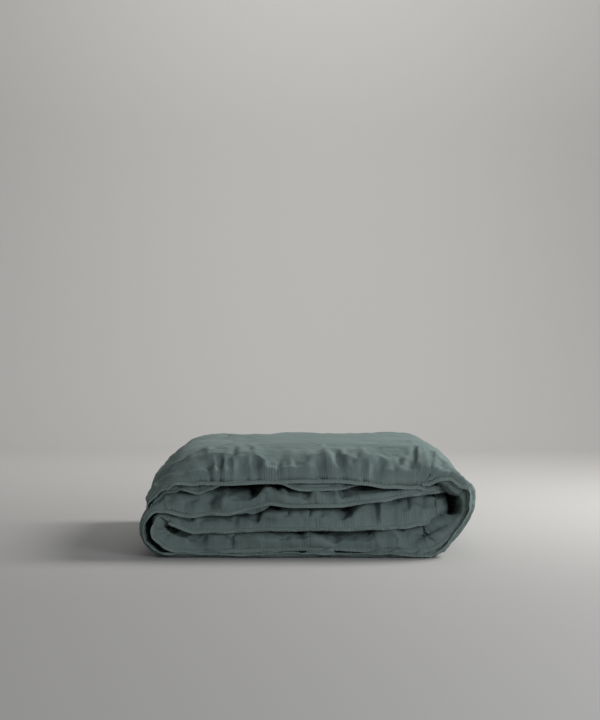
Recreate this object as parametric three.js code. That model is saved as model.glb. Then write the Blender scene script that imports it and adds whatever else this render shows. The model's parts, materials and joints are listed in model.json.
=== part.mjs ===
// A duvet in its cover, folded in half along its length and rolled flat in three turns.
// Millimetres, +Z up. X runs across the roll, Y from the sewn edges (front) to the fold (back).
// The origin is the middle of the footprint, on the surface that the pack lies on.
import * as THREE from "three";

// ---- Driving dimensions ----
const packDepth = 690; // a 1400 wide duvet folded in two, drawn in a little by its filling
const rightReach = 324; // from the middle to the outside of the right fold
const leftReach = 322; // from the middle to the outside of the left fold
const bottomThickness = 60; // the three levels, pressed harder the lower they lie
const middleThickness = 68;
const topThickness = 72;
const levelGap = 6; // air between two levels
const rightWrapThickness = 36; // the filling is squeezed where the strip turns
const leftWrapThickness = 34;
const flapEndThickness = 18; // the sewn end of the top flap
const middleEndThickness = 40; // the buttoned end inside the roll
const droopReach = 132; // the top flap bends down over the last of its way to the left
const flapTipAngle = THREE.MathUtils.degToRad(43.12); // its tip hangs here, round the left fold
const foldGap = 2; // between the two halves of the duvet, inside the lengthwise fold
const seamTaper = 45; // each half thins out to its seam over this depth
const flangeWidth = 8; // the flat, double-stitched edge outside the seam

// ---- Cloth ----
const coverThickness = 1.2; // woven cotton with its relief
const casingThickness = 0.8; // the inner duvet's downproof casing
const tapeThickness = 1.4;
const placketThickness = 2; // a hem of several layers
const buttonDiameter = 14;
const buttonThickness = 3;
const buttonsPerHalf = 3;
const buttonEdgeDistance = 120; // from the sewn edge, and from the fold, to the nearest button
const hemLength = 8;
const placketLength = 30;
const bindingLength = 6;
const headMargin = 45; // from the cover's sewn end to the inner duvet
const footMargin = 84; // from the cover's buttoned end to the inner duvet
const tieWidth = 12;
const tieInset = 110; // from the sewn edge to a corner tie
const labelWidth = 25;
const labelLength = 38;
const labelInset = 45;

// ---- How far along the strip its thickness takes to change ----
const crownTaper = 60;
const rightTaper = 90;
const leftTaper = 80;
const endTaper = 70;

// ---- Clearances ----
const touchGap = 0.3; // between two pieces that touch
const layerGap = 0.5; // between the cover and the inner duvet
const sectionGap = 0.6; // between two sections of the strip
const flapTipGap = 1.31; // between the top flap's end and the left fold that it hangs over
const middleEndGap = 26; // between the buttoned end and the inside of the right fold

// ---- Fold angles, measured round the right fold from straight below ----
const lowerHingeAngle = THREE.MathUtils.degToRad(30);
const upperHingeAngle = THREE.MathUtils.degToRad(120);

// ---- The roll: the strip's outside surface, as one path from the flap's tip to the inner end ----
const leftHeight = bottomThickness + levelGap + middleThickness;
const packHeight = leftHeight + levelGap + topThickness;
const rightRadius = packHeight / 2;
const leftRadius = leftHeight / 2;
const rightCentre = new THREE.Vector2(rightReach - rightRadius, rightRadius);
const leftCentre = new THREE.Vector2(leftRadius - leftReach, leftRadius);
const flapTipRadius = leftRadius + flapTipGap + flapEndThickness;
const middleEndReach = rightReach - rightWrapThickness - middleEndGap;

function makeRoll() {
  const roll = new THREE.CurvePath();
  const overhang = new THREE.Vector2(-Math.cos(flapTipAngle), Math.sin(flapTipAngle));
  const tip = leftCentre.clone().addScaledVector(overhang, flapTipRadius);
  const shoulder = new THREE.Vector2(tip.x, packHeight);
  const crown = new THREE.Vector2(droopReach - leftReach, packHeight);
  const topRight = new THREE.Vector2(rightCentre.x, packHeight);
  const bottomRight = new THREE.Vector2(rightCentre.x, 0);
  const bottomLeft = new THREE.Vector2(leftCentre.x, 0);
  const middleLeft = new THREE.Vector2(leftCentre.x, leftHeight);
  const middleEnd = new THREE.Vector2(middleEndReach, leftHeight);
  const up = Math.PI / 2;
  roll.add(new THREE.QuadraticBezierCurve(tip, shoulder, crown));
  roll.add(new THREE.LineCurve(crown, topRight));
  roll.add(new THREE.EllipseCurve(rightCentre.x, rightCentre.y, rightRadius, rightRadius, up, -up, true));
  roll.add(new THREE.LineCurve(bottomRight, bottomLeft));
  roll.add(new THREE.EllipseCurve(leftCentre.x, leftCentre.y, leftRadius, leftRadius, -up, up, true));
  roll.add(new THREE.LineCurve(middleLeft, middleEnd));
  return roll;
}

const roll = makeRoll();
const [droopEnd, topEnd, rightEnd, bottomEnd, leftEnd, rollEnd] = roll.getCurveLengths();
const upperHinge = rightEnd - upperHingeAngle * rightRadius;
const lowerHinge = rightEnd - lowerHingeAngle * rightRadius;

// How thick the folded strip is at marks along the roll; it changes smoothly between them.
const thicknessMarks = [
  [0, flapEndThickness],
  [droopEnd, topThickness],
  [topEnd - crownTaper, topThickness],
  [upperHinge, rightWrapThickness],
  [lowerHinge, rightWrapThickness],
  [rightEnd + rightTaper, bottomThickness],
  [bottomEnd - leftTaper, bottomThickness],
  [bottomEnd, leftWrapThickness],
  [leftEnd, leftWrapThickness],
  [leftEnd + leftTaper, middleThickness],
  [rollEnd - placketLength - endTaper, middleThickness],
  [rollEnd - placketLength, middleEndThickness],
  [rollEnd, middleEndThickness],
];

function stripThickness(along) {
  const next = thicknessMarks.findIndex(([mark]) => mark >= along);
  if (next < 1) return thicknessMarks.at(next)[1];
  const [from, before] = thicknessMarks[next - 1];
  const [to, after] = thicknessMarks[next];
  return THREE.MathUtils.lerp(before, after, THREE.MathUtils.smoothstep(along, from, to));
}

// ---- The strip's cross-section: (y, depth below the outside surface) ----

// Depths of the two halves at a place where the strip is `thickness` thick.
function halves(thickness) {
  const height = (thickness - foldGap) / 2;
  return { height, seam: height / 2, foldY: packDepth / 2 - thickness / 2 };
}

// The middle line of a cover panel's cloth, from the outer half's flange round the lengthwise
// fold to the inner half's flange. The face panel is outside the duvet and the back panel is
// inside the fold.
function panelLine(thickness, isFace) {
  const { height, seam, foldY } = halves(thickness);
  const bulge = isFace ? -1 : 1;
  const reach = (height - coverThickness) / 2;
  const taperStart = flangeWidth - packDepth / 2;
  const flangeDepth = seam + (bulge * (coverThickness + touchGap)) / 2;
  const nearHalf = [
    new THREE.Vector2(-packDepth / 2, flangeDepth),
    new THREE.Vector2(taperStart, flangeDepth),
  ];
  for (const share of [0.12, 0.35, 0.65, 1]) {
    const rise = Math.sqrt(1 - (1 - share) ** 2);
    nearHalf.push(new THREE.Vector2(taperStart + seamTaper * share, seam + bulge * reach * rise));
  }
  const radius = isFace ? (thickness - coverThickness) / 2 : (foldGap + coverThickness) / 2;
  const turns = isFace ? 6 : 2;
  const fold = [];
  for (let i = 0; i <= turns; i++) {
    const angle = (Math.PI * i) / turns;
    const out = radius * Math.sin(angle);
    fold.push(new THREE.Vector2(foldY + out, thickness / 2 - radius * Math.cos(angle)));
  }
  const farHalf = nearHalf.map((p) => new THREE.Vector2(p.x, thickness - p.y)).reverse();
  return [...nearHalf, ...fold, ...farHalf];
}

function sideOf(from, to) {
  const along = to.clone().sub(from).normalize();
  return new THREE.Vector2(-along.y, along.x);
}

// An open line moved sideways by an even distance, with mitred corners.
function shifted(line, distance) {
  return line.map((point, i) => {
    const before = sideOf(line[Math.max(i - 1, 0)], line[Math.max(i, 1)]);
    const after = sideOf(line[Math.min(i, line.length - 2)], line[Math.min(i + 1, line.length - 1)]);
    const mitre = before.clone().add(after).divideScalar(1 + before.dot(after));
    return point.clone().addScaledVector(mitre, distance);
  });
}

// A closed outline of even thickness along an open line.
function band(line, thickness) {
  return [...shifted(line, -thickness / 2), ...shifted(line, thickness / 2).reverse()];
}

// A panel's line without its flanges, this far from the cloth's middle towards the filling.
function liningLine(thickness, isFace, inset) {
  return shifted(panelLine(thickness, isFace), isFace ? inset : -inset).slice(2, -2);
}

// The closed outline between the two panels, this far inside the middle of their cloth.
function pocket(thickness, inset) {
  return [...liningLine(thickness, true, inset), ...liningLine(thickness, false, inset).reverse()];
}

const hemInset = coverThickness / 2 + touchGap;
const casingInset = coverThickness / 2 + layerGap;
const fillingInset = casingInset + casingThickness + touchGap;
const placketInset = hemInset + placketThickness / 2;

// ---- Lofting ----

// A point of the cross-section, set in its place on the roll.
function place(station, point) {
  const { at, inward } = station;
  return [at.x + inward.x * point.y, point.x, at.y + inward.y * point.y];
}

function stationAt(along) {
  const share = THREE.MathUtils.clamp(along / rollEnd, 0, 1);
  const at = roll.getPointAt(share);
  const tangent = roll.getTangentAt(share);
  return { at, inward: new THREE.Vector2(tangent.y, -tangent.x), thickness: stripThickness(along) };
}

// The outline, wound so that its faces point out of the cloth: a hollow runs the other way.
function wound(points, isHollow) {
  return THREE.ShapeUtils.isClockWise(points) !== isHollow ? points : [...points].reverse();
}

function turnOf(a, b, c) {
  return (b.x - a.x) * (c.y - a.y) - (b.y - a.y) * (c.x - a.x);
}

function gapBetween(positions, i, j) {
  return Math.hypot(...[0, 1, 2].map((k) => positions[3 * i + k] - positions[3 * j + k]));
}

// Where the lofted solids have a ring. All of them share these, so that their facets stay parallel.
const sections = [
  { name: "top_flap", from: 0, to: upperHinge, steps: 9 },
  { name: "right_wrap", from: upperHinge, to: lowerHinge, steps: 6 },
  { name: "bottom", from: lowerHinge, to: bottomEnd, steps: 7 },
  { name: "left_wrap", from: bottomEnd, to: leftEnd, steps: 6 },
  { name: "middle", from: leftEnd, to: rollEnd, steps: 7 },
];
const headEnd = headMargin;
const footEnd = rollEnd - footMargin;
const headBinding = headEnd - touchGap - bindingLength;
const footBinding = footEnd + touchGap + bindingLength;
const placketStart = rollEnd - placketLength;
const shortestStep = 1;

function ringMarks() {
  const marks = [hemLength, headBinding, headEnd, footEnd, footBinding, placketStart];
  for (const { from, to, steps } of sections) {
    for (let i = 0; i < steps; i++) marks.push(THREE.MathUtils.lerp(from, to, i / steps));
  }
  return marks.sort((a, b) => a - b);
}

const marks = ringMarks();

function marksBetween(from, to) {
  const inside = marks.filter((mark) => mark > from + shortestStep && mark < to - shortestStep);
  return [from, ...inside, to];
}

// A solid that follows the roll between two places. `outline` gives the cross-section's closed
// outline for a thickness, and `hollow`, where there is one, the outline of a channel through it.
function loft(from, to, outline, hollow) {
  const loopsAt = (thickness) => {
    const loops = [wound(outline(thickness), false)];
    if (hollow) loops.push(wound(hollow(thickness), true));
    return loops;
  };
  const rings = marksBetween(from, to).map((along) => {
    const station = stationAt(along);
    return { station, loops: loopsAt(station.thickness) };
  });
  const steps = rings.length - 1;
  const positions = rings.flatMap(({ station, loops }) => loops.flat().flatMap((p) => place(station, p)));
  const sizes = rings[0].loops.map((loop) => loop.length);
  const ringSize = rings[0].loops.flat().length;
  const index = [];
  for (let ring = 0; ring < steps; ring++) {
    let first = ring * ringSize;
    for (const size of sizes) {
      for (let i = 0; i < size; i++) {
        const a = first + i;
        const b = first + ((i + 1) % size);
        const c = b + ringSize;
        const d = a + ringSize;
        if (gapBetween(positions, a, c) < gapBetween(positions, b, d)) index.push(a, b, c, a, c, d);
        else index.push(a, b, d, b, c, d);
      }
      first += size;
    }
  }
  for (const ring of [0, steps]) {
    const points = rings[ring].loops.flat();
    const first = ring * ringSize;
    for (const [a, b, c] of THREE.ShapeUtils.triangulateShape(...capLoops(rings[ring].loops))) {
      const facesOut = turnOf(points[a], points[b], points[c]) > 0 === (ring === 0);
      if (facesOut) index.push(first + a, first + b, first + c);
      else index.push(first + a, first + c, first + b);
    }
  }
  const geometry = new THREE.BufferGeometry();
  geometry.setAttribute("position", new THREE.Float32BufferAttribute(positions, 3));
  geometry.setIndex(index);
  return geometry;
}

function capLoops([contour, ...hollows]) {
  return [contour, hollows];
}

// ---- Materials ----
function finish(color, roughness) {
  return () => new THREE.MeshStandardMaterial({ color, roughness, metalness: 0 });
}

const coverCotton = finish(0x6b807d, 0.9);
const casingCotton = finish(0xe9e6df, 0.85);
const filling = finish(0xf4f2ec, 1);
const cottonTape = finish(0x7d8f8b, 0.9);
const labelCloth = finish(0xd9d6cc, 0.8);
const button = finish(0x5d6f6c, 0.45);

const duvet = new THREE.Group();

function add(name, geometry, material) {
  const mesh = new THREE.Mesh(geometry, material());
  mesh.name = name;
  duvet.add(mesh);
  return mesh;
}

// ---- The strip, in five sections between its folds ----
for (const { name, from, to } of sections) {
  const start = from === 0 ? 0 : from + sectionGap / 2;
  const end = to === rollEnd ? rollEnd : to - sectionGap / 2;
  const innerStart = Math.max(start, headEnd);
  const innerEnd = Math.min(end, footEnd);
  const facePanel = (t) => band(panelLine(t, true), coverThickness);
  const backPanel = (t) => band(panelLine(t, false), coverThickness);
  add(`cover_face_${name}`, loft(start, end, facePanel), coverCotton);
  add(`cover_back_${name}`, loft(start, end, backPanel), coverCotton);
  const casingOutside = (t) => pocket(t, casingInset);
  const casingInside = (t) => pocket(t, casingInset + casingThickness);
  add(
    `insert_casing_${name}`,
    loft(innerStart, innerEnd, casingOutside, casingInside),
    casingCotton,
  );
  add(
    `insert_filling_${name}`,
    loft(innerStart, innerEnd, (t) => pocket(t, fillingInset)),
    filling,
  );
}

// ---- The ends of the inner duvet: a binding tape sewn over each ----
const binding = (t) => pocket(t, casingInset);
add("insert_binding_head", loft(headBinding, headEnd - touchGap, binding), casingCotton);
add("insert_binding_foot", loft(footEnd + touchGap, footBinding, binding), casingCotton);

// ---- The cover's sewn end: the turned-in hem between its panels ----
const hem = (t) => pocket(t, hemInset);
add("cover_end_hem", loft(0, hemLength, hem), coverCotton);

// ---- The cover's buttoned end: two plackets with a row of buttons between them ----
const buttonPlacket = (t) => band(liningLine(t, true, placketInset), placketThickness);
const buttonholePlacket = (t) => band(liningLine(t, false, placketInset), placketThickness);
add("placket_button_side", loft(placketStart, rollEnd, buttonPlacket), coverCotton);
add("placket_buttonhole_side", loft(placketStart, rollEnd, buttonholePlacket), coverCotton);

// The place of a loose small piece: (y, depth) at this distance along the roll.
function smallPiece(name, geometry, material, along, y, depth) {
  const station = stationAt(along);
  const mesh = add(name, geometry, material);
  mesh.position.set(...place(station, new THREE.Vector2(y, depth)));
  mesh.rotation.y = Math.atan2(-station.inward.x, -station.inward.y);
  return mesh;
}

const buttonDepth = coverThickness + touchGap + placketThickness + touchGap + buttonThickness / 2;
const firstButton = buttonEdgeDistance - packDepth / 2;
const lastButton = packDepth / 2 - buttonEdgeDistance;
for (const [half, depth] of [
  ["outer", buttonDepth],
  ["inner", middleEndThickness - buttonDepth],
]) {
  for (let i = 0; i < buttonsPerHalf; i++) {
    const y = THREE.MathUtils.lerp(firstButton, lastButton, i / (buttonsPerHalf - 1));
    const disc = new THREE.CylinderGeometry(buttonDiameter / 2, buttonDiameter / 2, buttonThickness, 16);
    disc.rotateX(Math.PI / 2);
    smallPiece(`button_${half}_${i + 1}`, disc, button, rollEnd - placketLength / 2, y, depth);
  }
}

// ---- Corner ties: tapes that hold the inner duvet's corners in the cover's ----
const tieRuns = [
  ["head", hemLength + touchGap, headBinding - touchGap],
  ["foot", footBinding + touchGap, placketStart - touchGap],
];
for (const [end, from, to] of tieRuns) {
  for (const [half, centre] of [
    ["outer", (t) => halves(t).seam],
    ["inner", (t) => t - halves(t).seam],
  ]) {
    const tie = (t) => tapeOutline(tieInset, tieWidth, centre(t));
    add(`corner_tie_${end}_${half}`, loft(from, to, tie), cottonTape);
  }
}

function tapeOutline(inset, width, depth) {
  const near = inset - packDepth / 2;
  const top = depth - tapeThickness / 2;
  const bottom = depth + tapeThickness / 2;
  return [
    new THREE.Vector2(near, top),
    new THREE.Vector2(near + width, top),
    new THREE.Vector2(near + width, bottom),
    new THREE.Vector2(near, bottom),
  ];
}

// ---- The blank care label, sewn inside the seam near the buttoned end ----
const labelEnd = placketStart - touchGap;
const labelOutline = (t) => tapeOutline(labelInset, labelWidth, halves(t).seam);
add("care_label", loft(labelEnd - labelLength, labelEnd, labelOutline), labelCloth);

export default duvet;
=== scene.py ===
# %% [markdown]
# # A duvet, folded in half and rolled flat
# The CAD model gives the size, the place and the folds. This lesson makes what the eye sees:
# one long strip of filled, washed cotton, with its sewn edges in front and its fold at the back.

# %% Load the frame
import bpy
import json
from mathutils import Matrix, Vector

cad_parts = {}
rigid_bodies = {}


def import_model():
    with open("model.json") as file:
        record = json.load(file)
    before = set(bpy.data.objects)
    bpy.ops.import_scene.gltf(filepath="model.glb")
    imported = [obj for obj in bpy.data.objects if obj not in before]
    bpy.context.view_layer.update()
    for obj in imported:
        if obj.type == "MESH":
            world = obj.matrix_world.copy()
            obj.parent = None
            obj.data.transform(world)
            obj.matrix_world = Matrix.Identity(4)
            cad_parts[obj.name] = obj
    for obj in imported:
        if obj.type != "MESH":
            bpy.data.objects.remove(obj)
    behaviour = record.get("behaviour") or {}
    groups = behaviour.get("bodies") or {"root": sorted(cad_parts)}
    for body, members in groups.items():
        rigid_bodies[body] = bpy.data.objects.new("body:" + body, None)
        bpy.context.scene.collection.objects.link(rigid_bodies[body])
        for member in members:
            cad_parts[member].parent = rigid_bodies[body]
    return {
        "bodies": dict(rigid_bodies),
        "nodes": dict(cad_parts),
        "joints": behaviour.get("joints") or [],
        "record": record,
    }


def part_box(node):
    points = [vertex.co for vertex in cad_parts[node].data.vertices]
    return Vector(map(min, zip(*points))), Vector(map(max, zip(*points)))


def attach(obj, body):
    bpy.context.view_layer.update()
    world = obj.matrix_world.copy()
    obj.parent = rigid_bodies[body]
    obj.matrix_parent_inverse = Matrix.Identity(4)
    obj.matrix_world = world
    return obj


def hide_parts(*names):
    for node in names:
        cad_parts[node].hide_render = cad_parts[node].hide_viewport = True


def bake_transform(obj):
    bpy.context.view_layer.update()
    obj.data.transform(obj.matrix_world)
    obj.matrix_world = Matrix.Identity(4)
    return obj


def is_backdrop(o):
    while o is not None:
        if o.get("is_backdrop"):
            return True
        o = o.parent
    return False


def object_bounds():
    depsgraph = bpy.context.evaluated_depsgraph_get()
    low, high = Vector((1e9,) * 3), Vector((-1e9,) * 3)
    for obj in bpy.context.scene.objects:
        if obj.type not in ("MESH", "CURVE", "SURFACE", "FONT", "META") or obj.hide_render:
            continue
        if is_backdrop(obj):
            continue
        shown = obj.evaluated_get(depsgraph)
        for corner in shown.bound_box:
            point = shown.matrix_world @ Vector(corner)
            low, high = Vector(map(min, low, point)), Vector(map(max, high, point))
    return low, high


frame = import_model()
cad_box = [list(corner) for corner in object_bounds()]

import json
import math

import bmesh
import bpy
import numpy as np
from mathutils import Vector
from mathutils.bvhtree import BVHTree
from mathutils.geometry import tessellate_polygon

MM = 0.001
print("CAD box in metres:", cad_box)

# %% [markdown]
# ## Camera
# The pack is seen straight from the front, from a little above its top, with a long lens, so
# that its layers stay level and the top surface shows only as a narrow crown.

# %% Camera
CAMERA_DISTANCE = 3.0
CAMERA_HEIGHT = 0.382
CAMERA_SIDE = -0.0125
FRAME_HEIGHT_AT_FRONT = 1.386
SENSOR = 36.0

front_y = cad_box[0][1]
back_y = cad_box[1][1]
camera_data = bpy.data.cameras.new("camera")
camera_data.sensor_width = SENSOR
camera_data.lens = SENSOR * CAMERA_DISTANCE / FRAME_HEIGHT_AT_FRONT
camera = bpy.data.objects.new("camera", camera_data)
camera.location = (CAMERA_SIDE, front_y - CAMERA_DISTANCE, CAMERA_HEIGHT)
camera.rotation_euler = (math.radians(90), 0, 0)
bpy.context.collection.objects.link(camera)
bpy.context.scene.camera = camera
print("lens:", round(camera_data.lens, 1), "mm")

# %% [markdown]
# ## Materials
# Every finish is built from small noise and wave patterns, with real sizes in millimetres. The
# colours are the ones a colour picker shows, turned linear by one function.

# %% Helpers for materials
def linear(hex_colour):
    """A linear RGBA colour from an sRGB hex string."""
    parts = [int(hex_colour[i : i + 2], 16) / 255 for i in (1, 3, 5)]
    return [c / 12.92 if c <= 0.04045 else ((c + 0.055) / 1.055) ** 2.4 for c in parts] + [1.0]


def new_material(name, roughness, sheen=0.0):
    material = bpy.data.materials.new(name)
    material.use_nodes = True
    surface = material.node_tree.nodes["Principled BSDF"]
    surface.inputs["Roughness"].default_value = roughness
    surface.inputs["Sheen Weight"].default_value = sheen
    surface.inputs["Specular IOR Level"].default_value = 0.25
    return material, material.node_tree, surface


def node(tree, kind, settings=None, **inputs):
    """Adds a shader node. An input is a value, or an output of another node to link to it."""
    made = tree.nodes.new(kind)
    for name, value in (settings or {}).items():
        setattr(made, name, value)
    for name, value in inputs.items():
        socket = made.inputs[int(name[1:])] if name[0] == "_" else made.inputs[name]
        if isinstance(value, bpy.types.NodeSocket):
            tree.links.new(value, socket)
        else:
            socket.default_value = value
    return made


def mixed(tree, factor, first, second):
    """One colour over another: socket 0 is the share, 6 and 7 are the colours."""
    made = node(tree, "ShaderNodeMix", {"data_type": "RGBA"}, _0=factor, _6=first, _7=second)
    return made.outputs[2]


def ranged(tree, value, low, high, to_low=0.0, to_high=1.0):
    made = node(tree, "ShaderNodeMapRange", None, _0=value, _1=low, _2=high, _3=to_low, _4=to_high)
    return made.outputs[0]


# %% Patterns with real sizes
BANDS = math.pi / 10  # a wave texture's bands are this far apart at scale 1


def lumps(tree, place, size, detail, **more):
    """Noise, with lumps this many metres long."""
    scale = 1.0 / size
    made = node(
        tree, "ShaderNodeTexNoise", None, Vector=place, Scale=scale, Detail=detail, **more
    )
    return made.outputs[0]


def bands(tree, direction, place, spacing, distortion):
    """Wavy stripes, this many metres apart."""
    made = node(
        tree, "ShaderNodeTexWave", {"bands_direction": direction},
        Vector=place, Scale=BANDS * (1.0 / spacing), Distortion=distortion,
    )
    return made.outputs[1]


def product(tree, first, second):
    made = node(tree, "ShaderNodeMath", {"operation": "MULTIPLY"}, _0=first, _1=second)
    return made.outputs[0]


def bump(tree, strength, distance, height, **more):
    """A relief this many metres deep."""
    made = node(
        tree, "ShaderNodeBump", None, Strength=strength, Distance=distance, Height=height, **more
    )
    return made.outputs[0]


# %% Garment-washed percale, dyed sage green
cover_cotton, tree, surface = new_material("washed_cotton_percale_sage", 0.88, 0.25)
surface.inputs["Sheen Tint"].default_value = linear("#9fb0ad")
place = node(tree, "ShaderNodeTexCoord").outputs["Object"]
cloth_uv = node(tree, "ShaderNodeUVMap", {"uv_map": "cloth"}).outputs[0]
from_seam = node(tree, "ShaderNodeAttribute", {"attribute_name": "from_seam"}).outputs["Fac"]
# The dye takes unevenly in broad patches, and fades along the fine creases.
patches = lumps(tree, place, 0.09, 3.0)
crinkle = lumps(tree, cloth_uv, 0.012, 5.0, Roughness=0.62)
base = mixed(tree, ranged(tree, patches, 0.35, 0.65), linear("#627270"), linear("#6d7e7b"))
faded = mixed(tree, ranged(tree, crinkle, 0.55, 0.8, 0.0, 0.5), base, linear("#86958f"))
# The raised edges at the seams are rubbed pale in the wash.
worn = mixed(tree, ranged(tree, from_seam, 0.004, -0.006, 0.0, 0.45), faded, linear("#8f9f9b"))
# Thread by thread the weave is too fine to show from here, so it is drawn four times coarser.
weave_size = 4 * 0.4 * MM
weave = product(tree, *(bands(tree, way, cloth_uv, weave_size, 0.6) for way in ("X", "Y")))
woven_shade = mixed(tree, ranged(tree, weave, 0.0, 1.0, 0.0, 0.12), worn, linear("#55625f"))
tree.links.new(woven_shade, surface.inputs["Base Color"])
# Puckers between the stitches, about 5 mm apart, die out behind the seam.
pulled = lumps(tree, cloth_uv, 0.035, 2.0)
pucker_end = ranged(tree, pulled, 0.3, 0.7, 0.004, 0.020)
pucker_reach = ranged(tree, from_seam, pucker_end, 0.0)
pucker = product(tree, bands(tree, "X", cloth_uv, 5 * MM, 7.0), pucker_reach)
patchy = ranged(tree, pulled, 0.35, 0.6, 0.15, 0.8)
soft = bump(tree, 0.55, 2.2 * MM, crinkle)
gathered = bump(tree, patchy, 0.9 * MM, pucker, Normal=soft)
woven = bump(tree, 0.25, 0.15 * MM, weave, Normal=gathered)
tree.links.new(woven, surface.inputs["Normal"])


# %% The plainer materials
def plain_cloth(name, colour, second, lump, roughness, depth):
    """A dyed or bleached woven piece: two close colours and a fine relief."""
    material, tree, surface = new_material(name, roughness, 0.2)
    place = node(tree, "ShaderNodeTexCoord").outputs["Object"]
    grain = lumps(tree, place, lump, 4.0)
    shade = mixed(tree, ranged(tree, grain, 0.35, 0.65), linear(colour), linear(second))
    tree.links.new(shade, surface.inputs["Base Color"])
    tree.links.new(bump(tree, 0.4, depth, grain), surface.inputs["Normal"])
    return material


# Name, two colours, size of the grain, roughness and depth of the relief. The casing is bleached
# and tightly woven; the filling is loose fibre, so it has the deepest relief.
casing_cotton = plain_cloth(
    "downproof_cotton_cambric_white", "#e8e5dd", "#f1eee8", 6 * MM, 0.8, 0.4 * MM
)
filling = plain_cloth(
    "carded_fibre_filling_white", "#f2f0ea", "#dedbd2", 9 * MM, 0.95, 2.5 * MM
)
cotton_tape = plain_cloth(
    "woven_cotton_twill_tape_sage", "#74857f", "#7f908b", 2 * MM, 0.85, 0.3 * MM
)
# Spun thread and woven satin catch the light a little more than washed cotton.
thread = plain_cloth("spun_polyester_thread_sage", "#7b8c88", "#8a9a96", 3 * MM, 0.7, 0.1 * MM)
label_cloth = plain_cloth("woven_satin_label_ecru", "#dcd8cd", "#d0ccc0", 2 * MM, 0.6, 0.1 * MM)
button_resin = plain_cloth(
    "cast_polyester_button_grey_green", "#55665f", "#647570", 5 * MM, 0.4, 0.05 * MM
)
print("materials:", [material.name for material in bpy.data.materials if material.users == 0])

# %% [markdown]
# ## The roll
# Seen from the front, the outside of the strip is one line: the tip of the top flap, the crown,
# the right fold, the bottom, the left fold and the middle level. Its radii come from the CAD
# boxes, so the cloth lies where the solids are. A place on the strip is given by its distance
# along this line, and a depth under it.

# %% The outside line of the strip
top_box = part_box("cover_face_top_flap")
right_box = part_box("cover_face_right_wrap")
left_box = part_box("cover_face_left_wrap")
middle_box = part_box("cover_face_middle")
pack_top = top_box[1][2]
right_radius = pack_top / 2
right_centre = right_box[1][0] - right_radius
left_radius = left_box[1][2] / 2
left_centre = left_box[0][0] + left_radius
middle_end = middle_box[1][0]
FLAP_CROWN = -0.190
print("fold radii in metres:", round(right_radius, 3), round(left_radius, 3))


# %% Kinds of run
def distances(points):
    """How far each point of a line is from its start, along the line."""
    steps = np.linalg.norm(np.diff(points, axis=0), axis=1)
    return np.concatenate([[0], np.cumsum(steps)])


def read_at(at, places, points):
    """Points between the given ones, at these places along them."""
    return np.stack([np.interp(at, places, column) for column in points.T], -1)


def straight(*points, count=200):
    """Evenly spaced places on a line of straight stretches."""
    points = np.array(points, float)
    reach = distances(points)
    return read_at(np.linspace(0, reach[-1], count), reach, points)


def arc(centre, radius, first, last, count=200):
    """Points of a round fold; angles in degrees, from straight below, towards +X."""
    angle = np.radians(np.linspace(first, last, count))
    return np.stack([centre + radius * np.sin(angle), radius - radius * np.cos(angle)], 1)


def bend(start, control, end, count=200):
    """A soft corner, drawn towards a control point."""
    t = np.linspace(0, 1, count)[:, None]
    return (1 - t) ** 2 * np.array(start) + 2 * t * (1 - t) * np.array(control) + t**2 * np.array(end)


# %% [markdown]
# Deep in the pack the folds are round. At the front edge gravity and the stiff sewn edges make
# corners, so there is a second line for the front. Both lines are (x, z), in metres.

# %% The line deep in the pack and the line in front
left_top = 2 * left_radius
deep_runs = [
    bend([-0.311, 0.118], [-0.300, pack_top], [FLAP_CROWN, pack_top]),
    straight([FLAP_CROWN, pack_top], [right_centre, pack_top]),
    arc(right_centre, right_radius, 180, 0),
    straight([right_centre, 0], [left_centre, 0]),
    arc(left_centre, left_radius, 0, -180),
    straight([left_centre, left_top], [middle_end, left_top]),
]
front_runs = [
    bend([-0.313, 0.103], [-0.296, 0.192], [FLAP_CROWN, pack_top - 0.002]),
    straight([FLAP_CROWN, pack_top - 0.002], [right_centre, pack_top]),
    straight(
        [right_centre, pack_top], [0.256, 0.202], [0.278, 0.186], [0.292, 0.170], [0.304, 0.152],
        [0.319, 0.142], [0.324, 0.130], [0.324, 0.095], [0.317, 0.076], [0.293, 0.042],
        [0.262, 0.010], [0.240, 0],
    ),
    straight([0.240, 0], [-0.268, 0]),
    straight(
        [-0.268, 0], [-0.286, 0.003], [-0.302, 0.014], [-0.316, 0.028], [-0.322, 0.048],
        [-0.321, 0.066], [-0.313, 0.086], [-0.300, 0.104], [-0.282, 0.116], [-0.260, 0.120],
    ),
    straight(
        [-0.260, 0.120], [-0.220, 0.128], [-0.180, 0.131], [0.060, 0.131], [0.120, 0.134],
        [0.200, 0.138], [middle_end + 0.016, 0.139],
    ),
]


def blurred(points, reach, **padding):
    """Averages each point with its neighbours, up to this many places away."""
    window = np.hanning(2 * reach + 3)
    window /= window.sum()
    padded = np.pad(points, ((reach + 1, reach + 1), (0, 0)), **padding)
    return np.stack([np.convolve(column, window, mode="valid") for column in padded.T], 1)


def joined(runs, blur):
    """The runs as one line, with its corners softened over this many points."""
    line = np.concatenate([runs[0]] + [run[1:] for run in runs[1:]])
    return blurred(line, blur, mode="reflect", reflect_type="odd")


# The distances at which one run ends and the next starts.
lengths = [distances(run)[-1] for run in deep_runs]
marks = np.concatenate([[0], np.cumsum(lengths)])
deep_line = joined(deep_runs, 2)
front_line = joined(front_runs, 6)
line_along = np.concatenate(
    [np.linspace(a, b, 200)[int(a > 0):] for a, b in zip(marks[:-1], marks[1:])]
)
roll_length = marks[-1]
print("strip length:", round(roll_length, 3), "m")


# %% Places on the roll
# A place is a distance along the strip. It is named by its x on a level, or its angle on a fold.
def on_top(x):
    return marks[1] + x - FLAP_CROWN


def on_right(angle):
    return marks[2] + np.radians(180 - angle) * right_radius


def on_bottom(x):
    return marks[3] + right_centre - x


def on_left(angle):
    return marks[4] + np.radians(angle) * left_radius


def on_middle(x):
    return marks[5] + x - left_centre


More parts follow.
